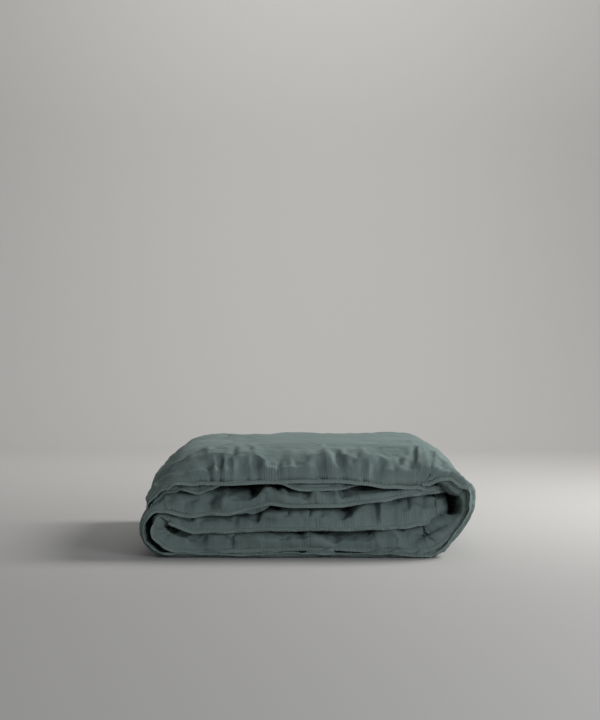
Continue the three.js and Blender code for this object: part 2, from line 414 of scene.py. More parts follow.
def roll_at(along, line):
    """The points of an outside line at these distances, and the directions into the strip."""
    reach = 0.009
    points, ahead, behind = (
        read_at(along + shift, line_along, line) for shift in (0, reach, -reach)
    )
    tangent = ahead - behind
    tangent /= np.linalg.norm(tangent, axis=-1)[..., None]
    return points, np.stack([tangent[..., 1], -tangent[..., 0]], -1)


# %% [markdown]
# ## The strip in section
# The strip is a duvet folded in two, so a cut across it shows two padded halves, joined round
# the back fold and closed by a seam each at the front. The outer half lies on the outside of the
# roll. At the front the halves sag over each other: each has its seam at a depth of its own, and
# those depths change along the roll. Deeper in, the filling evens out and the halves are alike.

# %% Depths of the halves at the front, in millimetres under the outside line
# place on the roll: (outer face, outer seam, outer back, inner back, inner seam, inner face)
front_profile = [
    (0.0, (0, 8, 11, 12, 14, 17)),
    (0.03, (0, 20, 21, 22, 26, 29)),
    (0.06, (0, 33, 34, 36, 46, 49)),
    (on_top(-0.230), (0, 58, 56, 58, 76, 79)),
    (on_top(-0.190), (0, 64, 60, 62, 73, 76)),
    (on_top(-0.150), (0, 65, 60, 61, 63, 66)),
    (on_top(-0.060), (0, 64, 60, 61, 63, 67)),
    (on_top(-0.010), (0, 62, 58, 60, 75, 78)),
    (on_top(0.060), (0, 61, 57, 59, 77, 80)),
    (on_top(0.110), (0, 65, 61, 63, 66, 70)),
    (on_top(0.160), (0, 72, 62, 64, 67, 70)),
    (on_top(0.195), (0, 75, 62, 64, 69, 72)),
    (on_right(165), (0, 70, 52, 54, 58, 60)),
    (on_right(150), (0, 60, 40, 42, 48, 52)),
    (on_right(120), (0, 15, 14, 16, 26, 42)),
    (on_right(103), (0, 7, 7, 9, 14, 35)),
    (on_right(88), (0, 7, 7, 9, 13, 28)),
    (on_right(60), (0, 7, 7, 9, 12, 22)),
    (on_right(45), (0, 7, 7, 9, 12, 44)),
    (on_right(30), (0, 7, 8, 10, 13, 60)),
    (on_bottom(0.235), (0, 7, 11, 13, 16, 66)),
    (on_bottom(0.150), (0, 8, 12, 14, 16, 54)),
    (on_bottom(0.096), (0, 8, 12, 14, 17, 47)),
    (on_bottom(0.0), (0, 8, 12, 14, 17, 40)),
    (on_bottom(-0.090), (0, 8, 12, 14, 15, 47)),
    (on_bottom(-0.230), (0, 7, 10, 12, 14, 46)),
    (on_left(30), (0, 6, 7, 20, 26, 46)),
    (on_left(120), (0, 7, 8, 20, 28, 46)),
    (on_left(160), (0, 24, 22, 30, 50, 58)),
    (on_middle(-0.220), (6, 45, 46, 48, 76, 80)),
    (on_middle(-0.160), (12, 43, 48, 50, 80, 83)),
    (on_middle(-0.110), (10, 35, 47, 51, 78, 81)),
    (on_middle(-0.067), (0, 25, 28, 42, 74, 77)),
    (on_middle(-0.020), (0, 28, 27, 43, 74, 77)),
    (on_middle(0.060), (0, 27, 27, 41, 73, 76)),
    (on_middle(0.096), (0, 24, 25, 31, 75, 77)),
    (on_middle(0.133), (0, 21, 23, 25, 78, 80)),
    (on_middle(0.170), (0, 17, 19, 21, 76, 79)),
    (on_middle(0.206), (0, 13, 15, 17, 71, 75)),
    (on_middle(0.243), (0, 12, 13, 15, 69, 72)),
    (roll_length, (0, 10, 12, 15, 64, 68)),
]
# %% Thickness of the whole strip deep in the pack, in millimetres
FOLD_GAP = 2 * MM
level_thickness = [
    (0.0, 16), (marks[1], 72), (marks[2] - 0.06, 72), (on_right(120), 36), (on_right(30), 36),
    (marks[3] + 0.09, 60), (marks[4] - 0.08, 60), (marks[4], 34), (marks[5], 34),
    (marks[5] + 0.08, 68), (roll_length - 0.10, 68), (roll_length - 0.03, 40), (roll_length, 36),
]


# %% Smooth changes and smooth noise
def smooth(share):
    """Goes from 0 to 1 with a soft start and a soft end."""
    share = np.clip(share, 0, 1)
    return share * share * (3 - 2 * share)


def eased(along, places, values):
    """Values that change smoothly from place to place."""
    places = np.asarray(places)
    values = np.asarray(values, float)
    at = np.clip(np.searchsorted(places, along) - 1, 0, len(places) - 2)
    share = smooth((along - places[at]) / (places[at + 1] - places[at]))
    return values[at] + (values[at + 1] - values[at]) * share


def noise(u, v, seed):
    """Smooth noise from -1 to 1; one unit of u or v is one lump."""
    lattice = np.random.default_rng(seed).uniform(-1, 1, (256, 256))
    iu, iv = np.floor(u).astype(int), np.floor(v).astype(int)
    fu, fv = smooth(u - iu), smooth(v - iv)
    a, b = lattice[iu % 256, iv % 256], lattice[(iu + 1) % 256, iv % 256]
    c, d = lattice[iu % 256, (iv + 1) % 256], lattice[(iu + 1) % 256, (iv + 1) % 256]
    return (a * (1 - fu) + b * fu) * (1 - fv) + (c * (1 - fu) + d * fu) * fv


def ripple(along, spacing, seed):
    """Noise that changes in one direction only."""
    return noise(along / spacing, along * 0, seed)


# %% [markdown]
# A ring of the strip runs round both halves. Its points are closest together near the seams,
# where the cloth puckers, and furthest apart where the halves lie on each other out of sight.

# %% Rows of the ring, and how the flap lies
depth = back_y - front_y
FINE = 5 * MM
near_seam = np.arange(0, 0.0751, FINE)
seen_rows = np.concatenate([near_seam, np.arange(0.084, 1, 10 * MM)])
hidden_rows = np.concatenate([near_seam, np.arange(0.090, 1, 28 * MM)])
FOLD_TURN = 12
INNER_TURN = 3
# The flap was laid down a little askew: its end hangs lowest at the front corner.
FLAP_SKEW = 0.075
FLAP_SKEW_REACH = 0.25
print("rows on a seen side:", len(seen_rows), "and on a hidden side:", len(hidden_rows))

# %% [markdown]
# Each half has two sides: one the eye can see and one that lies against the other half. A side
# leaves its seam steeply, like the lip of a pillow, and reaches its own depth a few centimetres
# further in. From there to the middle of the pack the depths ease from those at the front to the
# even ones inside. The ends of the strip are thinner: the flap's end is sewn flat, and the end
# inside the roll is only held by its buttons.

# %% The strip as a grid
FRONT_ZONE = 0.06
EASING_ZONE = 0.22
LIP = 14 * MM
SEWN_END, BUTTONED_END = 0.045, 0.030
RECEDE, RECEDE_REACH = 0.055, 0.075


def strip_grid(along, inset=0.0):
    """The strip's surface: one ring of points for each distance along the roll.
    Also gives each ring point's distance behind its seam, whether it is on a face panel, and how
    far each point is from the middle of its half."""
    count = len(along)
    places = [place for place, _ in front_profile]
    table = np.array([depths for _, depths in front_profile], float) * MM
    front = [eased(along, places, table[:, k]) for k in range(6)]
    thick = eased(along, [p for p, _ in level_thickness], [t * MM for _, t in level_thickness])
    deep = [0 * thick, None, (thick - FOLD_GAP) / 2, (thick + FOLD_GAP) / 2, None, thick]
    # The seams aren't straight: they ripple up and down, and stand back by varying amounts.
    ripple_outer = 2.2 * MM * ripple(along, 0.055, 11)
    ripple_inner = 2.0 * MM * ripple(along, 0.060, 12)
    seams = [front[1] + ripple_outer, front[4] + ripple_inner]
    setbacks = [
        4 * MM + 4 * MM * ripple(along, 0.11, 13),
        11 * MM + 5 * MM * ripple(along, 0.12, 14),
    ]
    recede = np.clip((along - roll_length + RECEDE_REACH) / RECEDE_REACH, 0, 1)
    setbacks = [setback + RECEDE * recede * recede for setback in setbacks]
    sewn = np.sqrt(1 - (1 - np.clip(along / SEWN_END, 0, 1)) ** 2)
    buttoned = np.sqrt(1 - (1 - np.clip((roll_length - along) / BUTTONED_END, 0, 1)) ** 2)
    end_taper = np.minimum(0.04 + 0.96 * sewn, 0.75 + 0.25 * buttoned)
    fold_start = back_y - thick / 2

    def side(half, surface, row_places):
        """(y, depth) of one side of a half, from its seam to where the fold starts."""
        seam, setback = seams[half], setbacks[half]
        room = fold_start - front_y - setback
        row_places = row_places[row_places < room.min() - 3 * MM]
        metres = np.append(row_places, row_places[-1])[None, :].repeat(count, 0)
        metres[:, -1] = room
        first, last = 3 * half, 3 * half + 2
        middle = (front[first] + front[last]) / 2
        deepness = smooth((metres - FRONT_ZONE) / EASING_ZONE)
        goal = front[surface][:, None] * (1 - deepness) + deep[surface][:, None] * deepness
        centre_deep = (deep[first] + deep[last]) / 2
        centre = middle[:, None] * (1 - deepness) + centre_deep[:, None] * deepness
        goal = centre + (goal - centre) * end_taper[:, None]
        seam_at = middle + (seam - middle) * (0.3 + 0.7 * end_taper)
        lip = LIP + 0.85 * np.abs(goal[:, :1] - seam_at[:, None])
        over_lip = np.clip(metres / lip, 0, 1)
        ease = np.sqrt(1 - (1 - over_lip) ** 2)
        half_room = np.abs(centre - goal)
        v = seam_at[:, None] + (goal - seam_at[:, None]) * ease
        inwards = np.minimum(inset, half_room * 0.8) * np.minimum(over_lip * 4, 1)
        v = v + np.sign(centre - goal) * inwards
        y = front_y + setback[:, None] + metres + inset * np.clip(1 - metres / FRONT_ZONE, 0, 1)
        return y, v, np.append(row_places, row_places[-1] + 0.02), half_room

    def turn(radius, steps):
        """(y, depth) of the half circle at the back."""
        angle = np.linspace(0, np.pi, steps + 2)[1:-1]
        y = fold_start[:, None] + radius[:, None] * np.sin(angle)
        v = thick[:, None] / 2 - radius[:, None] * np.cos(angle)
        return y, v

    # The ring: out along the seen side of the outer half, round the back, out along the seen
    # side of the inner half to its seam, and back between the halves.
    y1, v1, d1, r1 = side(0, 0, seen_rows)
    y2, v2, d2, r2 = side(1, 5, seen_rows)
    y3, v3, d3, r3 = side(1, 3, hidden_rows)
    y4, v4, d4, r4 = side(0, 2, hidden_rows)
    outer_y, outer_v = turn(np.maximum(thick / 2 * end_taper - inset, 1 * MM), FOLD_TURN)
    inner_y, inner_v = turn(np.full(count, FOLD_GAP / 2 + inset), INNER_TURN)
    ys = [y1, outer_y, y2[:, ::-1], y3[:, 1:], inner_y, y4[:, :0:-1]]
    vs = [v1, outer_v, v2[:, ::-1], v3[:, 1:], inner_v[:, ::-1], v4[:, :0:-1]]
    behind = [d1, np.full(FOLD_TURN, 1.0), d2[::-1], d3[1:], np.full(INNER_TURN, 1.0), d4[:0:-1]]
    seen_count = len(d1) + FOLD_TURN + len(d2)
    fold_room = (thick * end_taper / 4)[:, None]
    rooms = [
        r1, fold_room.repeat(FOLD_TURN, 1), r2[:, ::-1],
        r3[:, 1:], fold_room.repeat(INNER_TURN, 1), r4[:, :0:-1],
    ]
    y, v = np.concatenate(ys, 1), np.concatenate(vs, 1)
    face = (np.arange(y.shape[1]) < seen_count).astype(float)
    # The ring is laid on the roll: on the front line in front, on the deep line further in.
    deepness = smooth((y - front_y - 0.05) / 0.20)
    flap_share = np.clip(1 - along / FLAP_SKEW_REACH, 0, 1)[:, None] ** 2
    skewed = FLAP_SKEW * (y - front_y) / depth * flap_share
    grid = np.zeros((count, y.shape[1], 3))
    grid[..., 1] = y
    for line, share in ((front_line, 1 - deepness), (deep_line, deepness)):
        points, inward = roll_at(along[:, None] + skewed, line)
        placed = (points + inward * v[..., None]) * share[..., None]
        grid[..., 0] += placed[..., 0]
        grid[..., 2] += placed[..., 1]
    return grid, np.concatenate(behind), face, np.concatenate(rooms, 1)


# %% Make the grid
STEP = 10 * MM
along = np.linspace(0, roll_length, int(roll_length / STEP) + 1)
grid, behind_seam, on_face, half_room = strip_grid(along)
print("strip grid:", grid.shape)

# %% [markdown]
# ## Wrinkles
# Washed cotton is never smooth: the sewing draws the edges short, so the cloth behind each seam
# stands in gathers, and the filling pushes the rest into soft dents and creases. The cloth gets
# small seeds of such folds, and a cloth simulation, in which the cotton is a few per cent longer
# than the shape it covers, turns them into real buckles. The seams are held while it runs.

# %% Seeds of the folds
def ridges(phase):
    """Rounded ridges with narrower valleys, one for each whole number."""
    return (0.5 - 0.5 * np.cos(2 * np.pi * phase)) ** 1.5


def gathers(along, behind, spacing, reach, seed):
    """Folds square to a seam, closest together at the seam and dying out behind it."""
    drift = 0.9 * noise(along / (2.5 * spacing), behind / 0.05, seed)
    length = reach * (1 + 0.6 * ripple(along, 1.7 * spacing, seed + 1))
    strength = 0.55 + 0.45 * ripple(along, 4 * spacing, seed + 2)
    onset = np.clip(behind / (0.35 * spacing), 0, 1)
    return ridges(along / spacing + drift) * strength * onset * np.exp(-behind / length)


def creases(u, v, scale, seed):
    """Long, thin, wandering ridges, where cloth has been folded and washed."""
    wander_u = 0.5 * noise(u / (1.4 * scale), v / (1.4 * scale), seed + 1)
    wander_v = 0.5 * noise(u / (1.4 * scale), v / (1.4 * scale), seed + 2)
    field = noise(u / scale + wander_u, v / scale + wander_v, seed)
    return np.exp(-((field / 0.16) ** 2))


def normals_of(grid):
    """Directions out of the cloth, from the neighbours along and round the strip."""
    lengthways = np.gradient(grid, axis=0)
    round_ring = (np.roll(grid, -1, axis=1) - np.roll(grid, 1, axis=1)) / 2
    out = np.cross(lengthways, round_ring)
    return out / np.maximum(np.linalg.norm(out, axis=2), 1e-9)[..., None]


def ring_length(grid):
    """Distances round the ring, measured on the average ring."""
    return distances(grid.mean(0))


def coordinates(grid, along, behind):
    """At each point: the place along the strip, the place round it, the way from the seam."""
    u = along[:, None] + 0 * behind[None, :]
    return u, ring_length(grid)[None, :] + 0 * u, behind[None, :] + 0 * u


# %% [markdown]
# The seeds are gathers every 34 mm behind the seams, long ridges, broad lumps and thin valleys.
# They are low where the cloth is hidden, in the narrow gaps between levels, in thin halves and
# on the floor.

# %% Press the seeds into the grid
def seeded(grid, along, behind, face):
    u, v, d = coordinates(grid, along, behind)
    height = 3.2 * MM * gathers(u, d, 0.034, 0.045, 21)
    height += 2.4 * MM * creases(u, v, 0.16, 31) * np.clip(d / 0.05, 0, 1)
    height += 3.5 * MM * noise(u / 0.11, v / 0.12, 41) * np.clip(d / 0.04, 0, 1)
    height -= 2.2 * MM * creases(u, v, 0.11, 51) * np.clip(d / 0.03, 0, 1)
    hidden = (face[None, :] == 0) & (d > 0.07)
    height *= np.where(hidden, 0.15, 1.0)
    out = normals_of(grid)
    in_gap = (out[..., 2] < -0.4) | ((out[..., 2] > 0.4) & (u > marks[2]))
    height *= np.where(in_gap, 0.4, 1.0)
    height *= np.clip(half_room / (9 * MM), 0.1, 1)
    on_floor = np.clip(grid[..., 2] / 0.012, 0, 1)
    return grid + out * (height * on_floor)[..., None]


smooth_grid = grid
grid = seeded(grid, along, behind_seam, on_face)


# %% Turn a grid into a closed mesh
def grid_faces(rings, size):
    """Quads between the rings of a tube."""
    i = np.arange(rings - 1)[:, None]
    j = np.arange(size)[None, :]
    k = (j + 1) % size
    a, b = i * size + j, i * size + k
    return np.stack([a, a + size, b + size, b], -1).reshape(-1, 4)


def make_object(name, vertices, faces, uv=None):
    """A smooth-shaded object at the origin, with the cloth's own coordinates if they are given."""
    mesh = bpy.data.meshes.new(name)
    mesh.from_pydata(vertices.reshape(-1, 3).tolist(), [], [list(face) for face in faces])
    mesh.update()
    if uv is not None:
        layer = mesh.uv_layers.new(name="cloth")
        loops = np.empty(len(mesh.loops), dtype=np.int64)
        mesh.loops.foreach_get("vertex_index", loops)
        layer.data.foreach_set("uv", uv.reshape(-1, 2)[loops].ravel())
    mesh.shade_smooth()
    piece = bpy.data.objects.new(name, mesh)
    bpy.context.collection.objects.link(piece)
    return piece


# %% [markdown]
# The simulated cotton grows by a few per cent, under a light pressure from the filling. How far
# a point may go depends on how thick its half is there, so that two levels never meet, and the
# crown moves least, because whatever is put on a folded duvet presses it flat.

# %% Simulate the cotton
GROWTH = 0.06
FRAMES = 20
MOST_MOVE = 8 * MM
CLOTH = {
    "quality": 4,
    "mass": 0.02,
    "air_damping": 1.0,
    "tension_stiffness": 30,
    "compression_stiffness": 30,
    "shear_stiffness": 10,
    "bending_stiffness": 0.02,
    "vertex_group_mass": "held",
    "pin_stiffness": 1,
    "shrink_min": -GROWTH,
    "shrink_max": -GROWTH,
    "use_pressure": True,
    "uniform_pressure_force": 0.5,
}


def crumple(grid, pin):
    """Lets the cloth outgrow the shape it covers, so that it buckles into wrinkles."""
    piece = make_object("simulated", grid, grid_faces(grid.shape[0], grid.shape[1]))
    group = piece.vertex_groups.new(name="held")
    for weight in np.unique(pin):
        group.add(np.flatnonzero(pin.ravel() == weight).tolist(), float(weight), "REPLACE")
    modifier = piece.modifiers.new("cloth", "CLOTH")
    settings = modifier.settings
    for setting, value in CLOTH.items():
        setattr(settings, setting, value)
    settings.effector_weights.gravity = 0
    modifier.collision_settings.use_self_collision = False
    modifier.collision_settings.use_collision = False
    modifier.point_cache.frame_start = 1
    modifier.point_cache.frame_end = FRAMES
    scene = bpy.context.scene
    for number in range(1, FRAMES + 1):
        scene.frame_set(number)
    mesh = piece.evaluated_get(bpy.context.evaluated_depsgraph_get()).data
    moved = np.empty(len(mesh.vertices) * 3)
    mesh.vertices.foreach_get("co", moved)
    scene.frame_set(1)
    bpy.data.objects.remove(piece)
    shift = moved.reshape(grid.shape) - grid
    far = np.linalg.norm(shift, axis=2)
    print("cloth moved, mm:", (np.percentile(far, [50, 90, 99]) / MM).round(2))
    on_crown = np.clip((grid[..., 2] - pack_top + 0.035) / 0.020, 0, 1)
    on_crown *= np.clip((grid[..., 1] - front_y - 0.10) / 0.10, 0, 1)
    most = np.clip(0.55 * half_room, 0.4 * MM, MOST_MOVE) * (1 - 0.7 * on_crown)
    shift *= (most * np.tanh(far / most) / np.maximum(far, 1e-9))[..., None]
    return grid + shift


CROWN_GIVE = 5 * MM


def pressed_crown(heights):
    """Heights with the high places of the crown pressed flat."""
    over = np.maximum(heights - (pack_top - CROWN_GIVE), 0)
    return heights - over + 2 * CROWN_GIVE * np.tanh(over / (2 * CROWN_GIVE))


hidden = (on_face == 0) & (behind_seam > 0.07)
held = (behind_seam == 0) | hidden
pin = np.where(held[None, :], 1.0, 0.0) * np.ones((len(along), 1))
pin[grid[..., 2] < 1.5 * MM] = 1.0
pin[[0, -1]] = 1.0
grid = crumple(grid, pin)
grid[..., 2] = np.maximum(pressed_crown(grid[..., 2]), 0.2 * MM)

# %% [markdown]
# The simulated cloth is coarse. It is resampled to a grid three times as fine along the roll, and
# twice as fine near the seams, on smooth curves through the simulated points. The small gathers
# at the stitches and the fine crinkle of washed cotton are then added to that.

# %% Refine the cloth
def resampled(grid, at):
    """Smooth curves through the grid's rows, read at fractional row numbers."""
    last = grid.shape[0] - 1
    i = np.minimum(np.floor(at).astype(int), last - 1)
    t = (at - i)[:, None, None]
    before, after = np.maximum(i - 1, 0), np.minimum(i + 2, last)
    a, b, c, d = grid[before], grid[i], grid[i + 1], grid[after]
    return b + 0.5 * t * (c - a + t * (2 * a - 5 * b + 4 * c - d + t * (3 * (b - c) + d - a)))


def finer_ring(grid, behind, face):
    """Halves the ring's steps near the seams. Each part between two seams is done apart, so
    that the seams stay sharp."""
    seams = np.flatnonzero(behind == 0)
    ring = np.concatenate([grid, grid[:, :1]], axis=1)
    behind = np.append(behind, behind[0])
    face = np.append(face, face[0])
    seams = [0] + [int(j) for j in seams if j > 0] + [ring.shape[1] - 1]
    parts, behinds, faces = [], [], []
    for first, last in zip(seams[:-1], seams[1:]):
        here = behind[first : last + 1]
        at = [float(j) for j in range(last - first + 1)]
        near = [j + 0.5 for j in range(last - first) if min(here[j], here[j + 1]) < 0.075]
        at = np.array(sorted(at + near))[:-1]
        part = resampled(np.swapaxes(ring[:, first : last + 1], 0, 1), at)
        parts.append(np.swapaxes(part, 0, 1))
        behinds.append(np.interp(at, np.arange(len(here)), here))
        faces.append(np.interp(at, np.arange(len(here)), face[first : last + 1]) > 0.5)
    return np.concatenate(parts, 1), np.concatenate(behinds), np.concatenate(faces).astype(float)


# %% [markdown]
# A cloth simulation gives folds everywhere, but not the large ones that this duvet happens to
# have in front. Those are drawn on the front, each as a line that the cloth rises or sinks along.

# %% The folds that show in front
# By level: (height, width, line) in millimetres. A line is (x, z) points in the front view.
folds_in_front = {
    "middle": [
        (8, 9, [(-78, 132), (-128, 116), (-170, 98)]),
        (9, 8, [(-82, 128), (-56, 114), (-33, 101)]),
        (-9, 9, [(-66, 107), (-100, 99), (-134, 92)]),
        (6, 9, [(-160, 120), (-161, 98)]),
        (6, 12, [(-205, 112), (-215, 92)]),
        (-6, 10, [(-185, 114), (-186, 92)]),
        (5, 8, [(-46, 124), (-38, 103)]),
        (-12, 5, [(-3, 134), (-2, 116)]),
        (6, 9, [(16, 130), (24, 108)]),
        (8, 6, [(52, 130), (58, 116), (60, 102)]),
        (-7, 7, [(70, 128), (74, 106)]),
        (7, 5, [(144, 108), (145, 88), (143, 70)]),
        (-7, 5, [(135, 106), (136, 76)]),
        (4, 14, [(196, 112), (250, 118)]),
        (-6, 5, [(-96, 72), (-51, 66), (22, 66), (70, 78), (86, 92)]),
        (6, 9, [(-80, 80), (-20, 80), (60, 84)]),
    ],
    "bottom": [
        (9, 6, [(213, 20), (250, 44), (296, 70)]),
        (-8, 6, [(196, 24), (236, 50), (280, 68)]),
        (-7, 5, [(232, 18), (262, 38), (292, 58)]),
        (8, 8, [(177, 22), (174, 44), (156, 54)]),
        (-6, 6, [(198, 22), (190, 46), (184, 60)]),
        (4, 7, [(140, 22), (136, 44)]),
        (-4, 7, [(156, 20), (154, 42)]),
        (10, 8, [(0, 34), (30, 28), (47, 19)]),
        (-10, 6, [(55, 34), (58, 14)]),
        (5, 12, [(-150, 40), (-80, 34), (-20, 38)]),
        (-5, 6, [(-200, 26), (-110, 28), (-40, 24)]),
        (-9, 6, [(-262, 52), (-246, 44), (-232, 44)]),
        (-8, 5, [(-226, 38), (-206, 36)]),
        (6, 6, [(-280, 50), (-258, 38), (-232, 32)]),
        (-5, 6, [(-7, 12), (-7, 0)]),
        (-5, 6, [(101, 12), (101, 0)]),
    ],
    "top": [
        (-5, 5, [(-186, 148), (-189, 172)]),
        (-6, 5, [(-168, 146), (-166, 188)]),
        (4, 6, [(-176, 148), (-177, 180)]),
        (-4, 5, [(-144, 148), (-147, 182)]),
        (-4, 6, [(-118, 150), (-122, 176)]),
        (-5, 6, [(-92, 148), (-98, 186)]),
        (4, 7, [(-106, 150), (-112, 182)]),
        (-4, 7, [(-60, 150), (-52, 184)]),
        (-4, 8, [(18, 152), (30, 190)]),
        (-5, 8, [(72, 158), (58, 198)]),
        (4, 9, [(44, 154), (38, 196)]),
        (5, 9, [(234, 172), (262, 166), (300, 150)]),
        (-4, 8, [(222, 158), (262, 152), (296, 142)]),
        (-4, 9, [(130, 150), (150, 184)]),
        (-6, 7, [(-296, 132), (-272, 164), (-240, 190)]),
    ],
}
LEVELS = {
    "top": (0.0, on_right(110)),
    "bottom": (on_right(70), on_left(100)),
    "middle": (on_left(100), roll_length),
}
STROKE_DEPTH = 1.35


def stroked(grid, along, behind, level, height, width, line):
    """A ridge, or with a negative height a valley, pressed into the front along a line."""
    points = np.array(line, float) * MM
    x, z = grid[..., 0], grid[..., 2]
    nearest = np.full(x.shape, 9.0)
    for (x0, z0), (x1, z1) in zip(points[:-1], points[1:]):
        length_squared = max((x1 - x0) ** 2 + (z1 - z0) ** 2, 1e-12)
        t = np.clip(((x - x0) * (x1 - x0) + (z - z0) * (z1 - z0)) / length_squared, 0, 1)
        nearest = np.minimum(nearest, np.hypot(x - x0 - t * (x1 - x0), z - z0 - t * (z1 - z0)))
    profile = np.exp(-((nearest / (width * MM)) ** 1.3))
    from_front = np.clip((grid[..., 1] - front_y - 0.045) / 0.05, 0, 1)
    low, high = LEVELS[level]
    inside = ((along > low) & (along < high))[:, None]
    at_seam = np.clip(behind / 0.004, 0, 1)[None, :]
    seen = np.clip(3 * (normals_of(grid)[..., 2] + 0.5), 0, 1)
    return STROKE_DEPTH * height * MM * profile * (1 - from_front) * inside * at_seam * seen


def all_strokes(grid, along, behind):
    """The height of all the folds together."""
    return sum(
        stroked(grid, along, behind, level, *fold)
        for level, folds in folds_in_front.items()
        for fold in folds
    )


# %% [markdown]
# The details that are too small to simulate come last: gathers every 12.5 mm at the stitches,
# the crumple and the creases of washed cotton, and the drawn folds. Where a half is thin, its
# valleys stay shallow, so that they don't reach the inner duvet.

# %% Add the details
REFINE = 3
fine_at = np.linspace(0, len(along) - 1, (len(along) - 1) * REFINE + 1)
fine_along = np.interp(fine_at, np.arange(len(along)), along)
with_room = resampled(np.concatenate([grid, half_room[..., None]], 2), fine_at)
with_room, fine_behind, fine_face = finer_ring(with_room, behind_seam, on_face)
fine_grid, fine_room = with_room[..., :3], np.maximum(with_room[..., 3], 0)
size = fine_grid.shape[1]
u, v, d = coordinates(fine_grid, fine_along, fine_behind)
detail = 2.0 * MM * gathers(u, d, 0.0125, 0.020, 61)
detail += 0.8 * MM * noise(u / 0.021, v / 0.023, 71) * np.clip(d / 0.01, 0, 1)
detail += 1.2 * MM * creases(u, v, 0.055, 81) * np.clip(d / 0.015, 0, 1)
detail *= np.clip(fine_grid[..., 2] / 0.006, 0, 1)
detail += all_strokes(fine_grid, fine_along, fine_behind)
detail = np.maximum(detail, -0.35 * fine_room - 0.2 * MM)
fine_grid = fine_grid + normals_of(fine_grid) * detail[..., None]
fine_grid[..., 2] = np.maximum(pressed_crown(fine_grid[..., 2]), 0.2 * MM)
uv = np.stack([u, v], -1)
print("fine grid:", fine_grid.shape, "about", 2 * fine_grid.shape[0] * size, "triangles")

# %% [markdown]
# ## Pieces
# The strip is one cover; when the flap is opened it bends at two places. So it is cut where all of
# it moves together: under the bottom level, and half way up the right fold. The cut ends meet
# point for point.

# %% Cut the strip into pieces
CUTS = {
    "top": (0.0, on_right(78)),
    "right_fold": (on_right(78), on_left(15)),
    "inner_turns": (on_left(15), roll_length),
}


# %% [markdown]
# The piece inside the roll is attached to the pack body; the top and the right fold are baked in
# place and follow no body.

# %% Which piece rides on the pack
def ride_along(piece, where):
    """Attaches the piece inside the roll to the pack; the top and the right fold are baked in place.
    """
    if where == "inner_turns":
        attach(piece, "pack")
    elif where == "right_fold":
        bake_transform(piece)
    else:
        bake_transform(piece)


def rows_between(along, where, first=0.0, last=9.0):
    """The rows of a piece, and no further than these two places."""
    low, high = CUTS[where]
    edges = (max(low, first), min(high, last))
    start, end = (int(np.argmin(abs(along - edge))) for edge in edges)
    return slice(start, end + 1)


def finish_soft(piece, where, material):
    """Normals out, a material, and the bodies that the piece follows."""
    shell = bmesh.new()
    shell.from_mesh(piece.data)
    bmesh.ops.recalc_face_normals(shell, faces=shell.faces)
    shell.to_mesh(piece.data)
    shell.free()
    piece.data.materials.append(material)
    ride_along(piece, where)


def mark_from_seam(piece, distances):
    """Keeps how far behind the seam each point is, for the wear and the puckers."""
    seam = piece.data.attributes.new("from_seam", "FLOAT", "POINT")
    seam.data.foreach_set("value", distances.ravel())


def tube_piece(name, grid, along, where, material, uv=None, behind=None, first=0.0, last=9.0):
    """A closed length of a tube of rings, as one piece of cloth or filling."""
    rows = rows_between(along, where, first, last)
    part = grid[rows]
    size = part.shape[1]
    faces = grid_faces(part.shape[0], size).tolist()
    for ring, offset in ((part[0], 0), (part[-1], (part.shape[0] - 1) * size)):
        for triangle in tessellate_polygon([[tuple(point) for point in ring]]):
            faces.append([offset + corner for corner in triangle])
    piece = make_object(name, part, faces, None if uv is None else uv[rows])
    if behind is not None:
        mark_from_seam(piece, np.broadcast_to(behind, part.shape[:2]))
    finish_soft(piece, where, material)
    print(name, len(piece.data.polygons), "faces")
    return piece


# %% The cover
# The CAD nodes that each piece stands for.
SECTIONS = {
    "top": ["top_flap"],
    "right_fold": ["right_wrap"],
    "inner_turns": ["bottom", "left_wrap", "middle"],
}
for where in CUTS:
    tube_piece(
        "duvet_cover_" + where, fine_grid, fine_along, where, cover_cotton,
        uv, fine_behind,
    )
    for section in SECTIONS[where]:
        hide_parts("cover_face_" + section, "cover_back_" + section)

# %% [markdown]
# The inner duvet follows the cover everywhere, a few millimetres inside it: its casing first,
# then the filling. It is shorter than the cover at both ends, where corner ties hold it. Where a
# fold in the cover would still cut it, the nearest points are moved back inside. Each piece is
# compared with its own piece of the cover, because the levels lie on each other.

# %% Keep the inner duvet inside the cover
ROWS_PAST = 8
cover_surfaces = {}
for where in CUTS:
    rows = rows_between(fine_along, where)
    part = fine_grid[max(rows.start - ROWS_PAST, 0) : rows.stop + ROWS_PAST]
    cover_surfaces[where] = BVHTree.FromPolygons(
        part.reshape(-1, 3).tolist(), grid_faces(len(part), size).tolist()
    )


def kept_inside(points, gaps, surface):
    """Moves the points that lie outside the cover, or too close under it, to this far inside."""
    placed = points.reshape(-1, 3).copy()
    for i, (point, gap) in enumerate(zip(placed.tolist(), gaps.ravel())):
        nearest, normal, _, _ = surface.find_nearest(point)
        if (Vector(point) - nearest).dot(normal) > -gap:
            placed[i] = nearest - normal * gap
    return placed.reshape(points.shape)


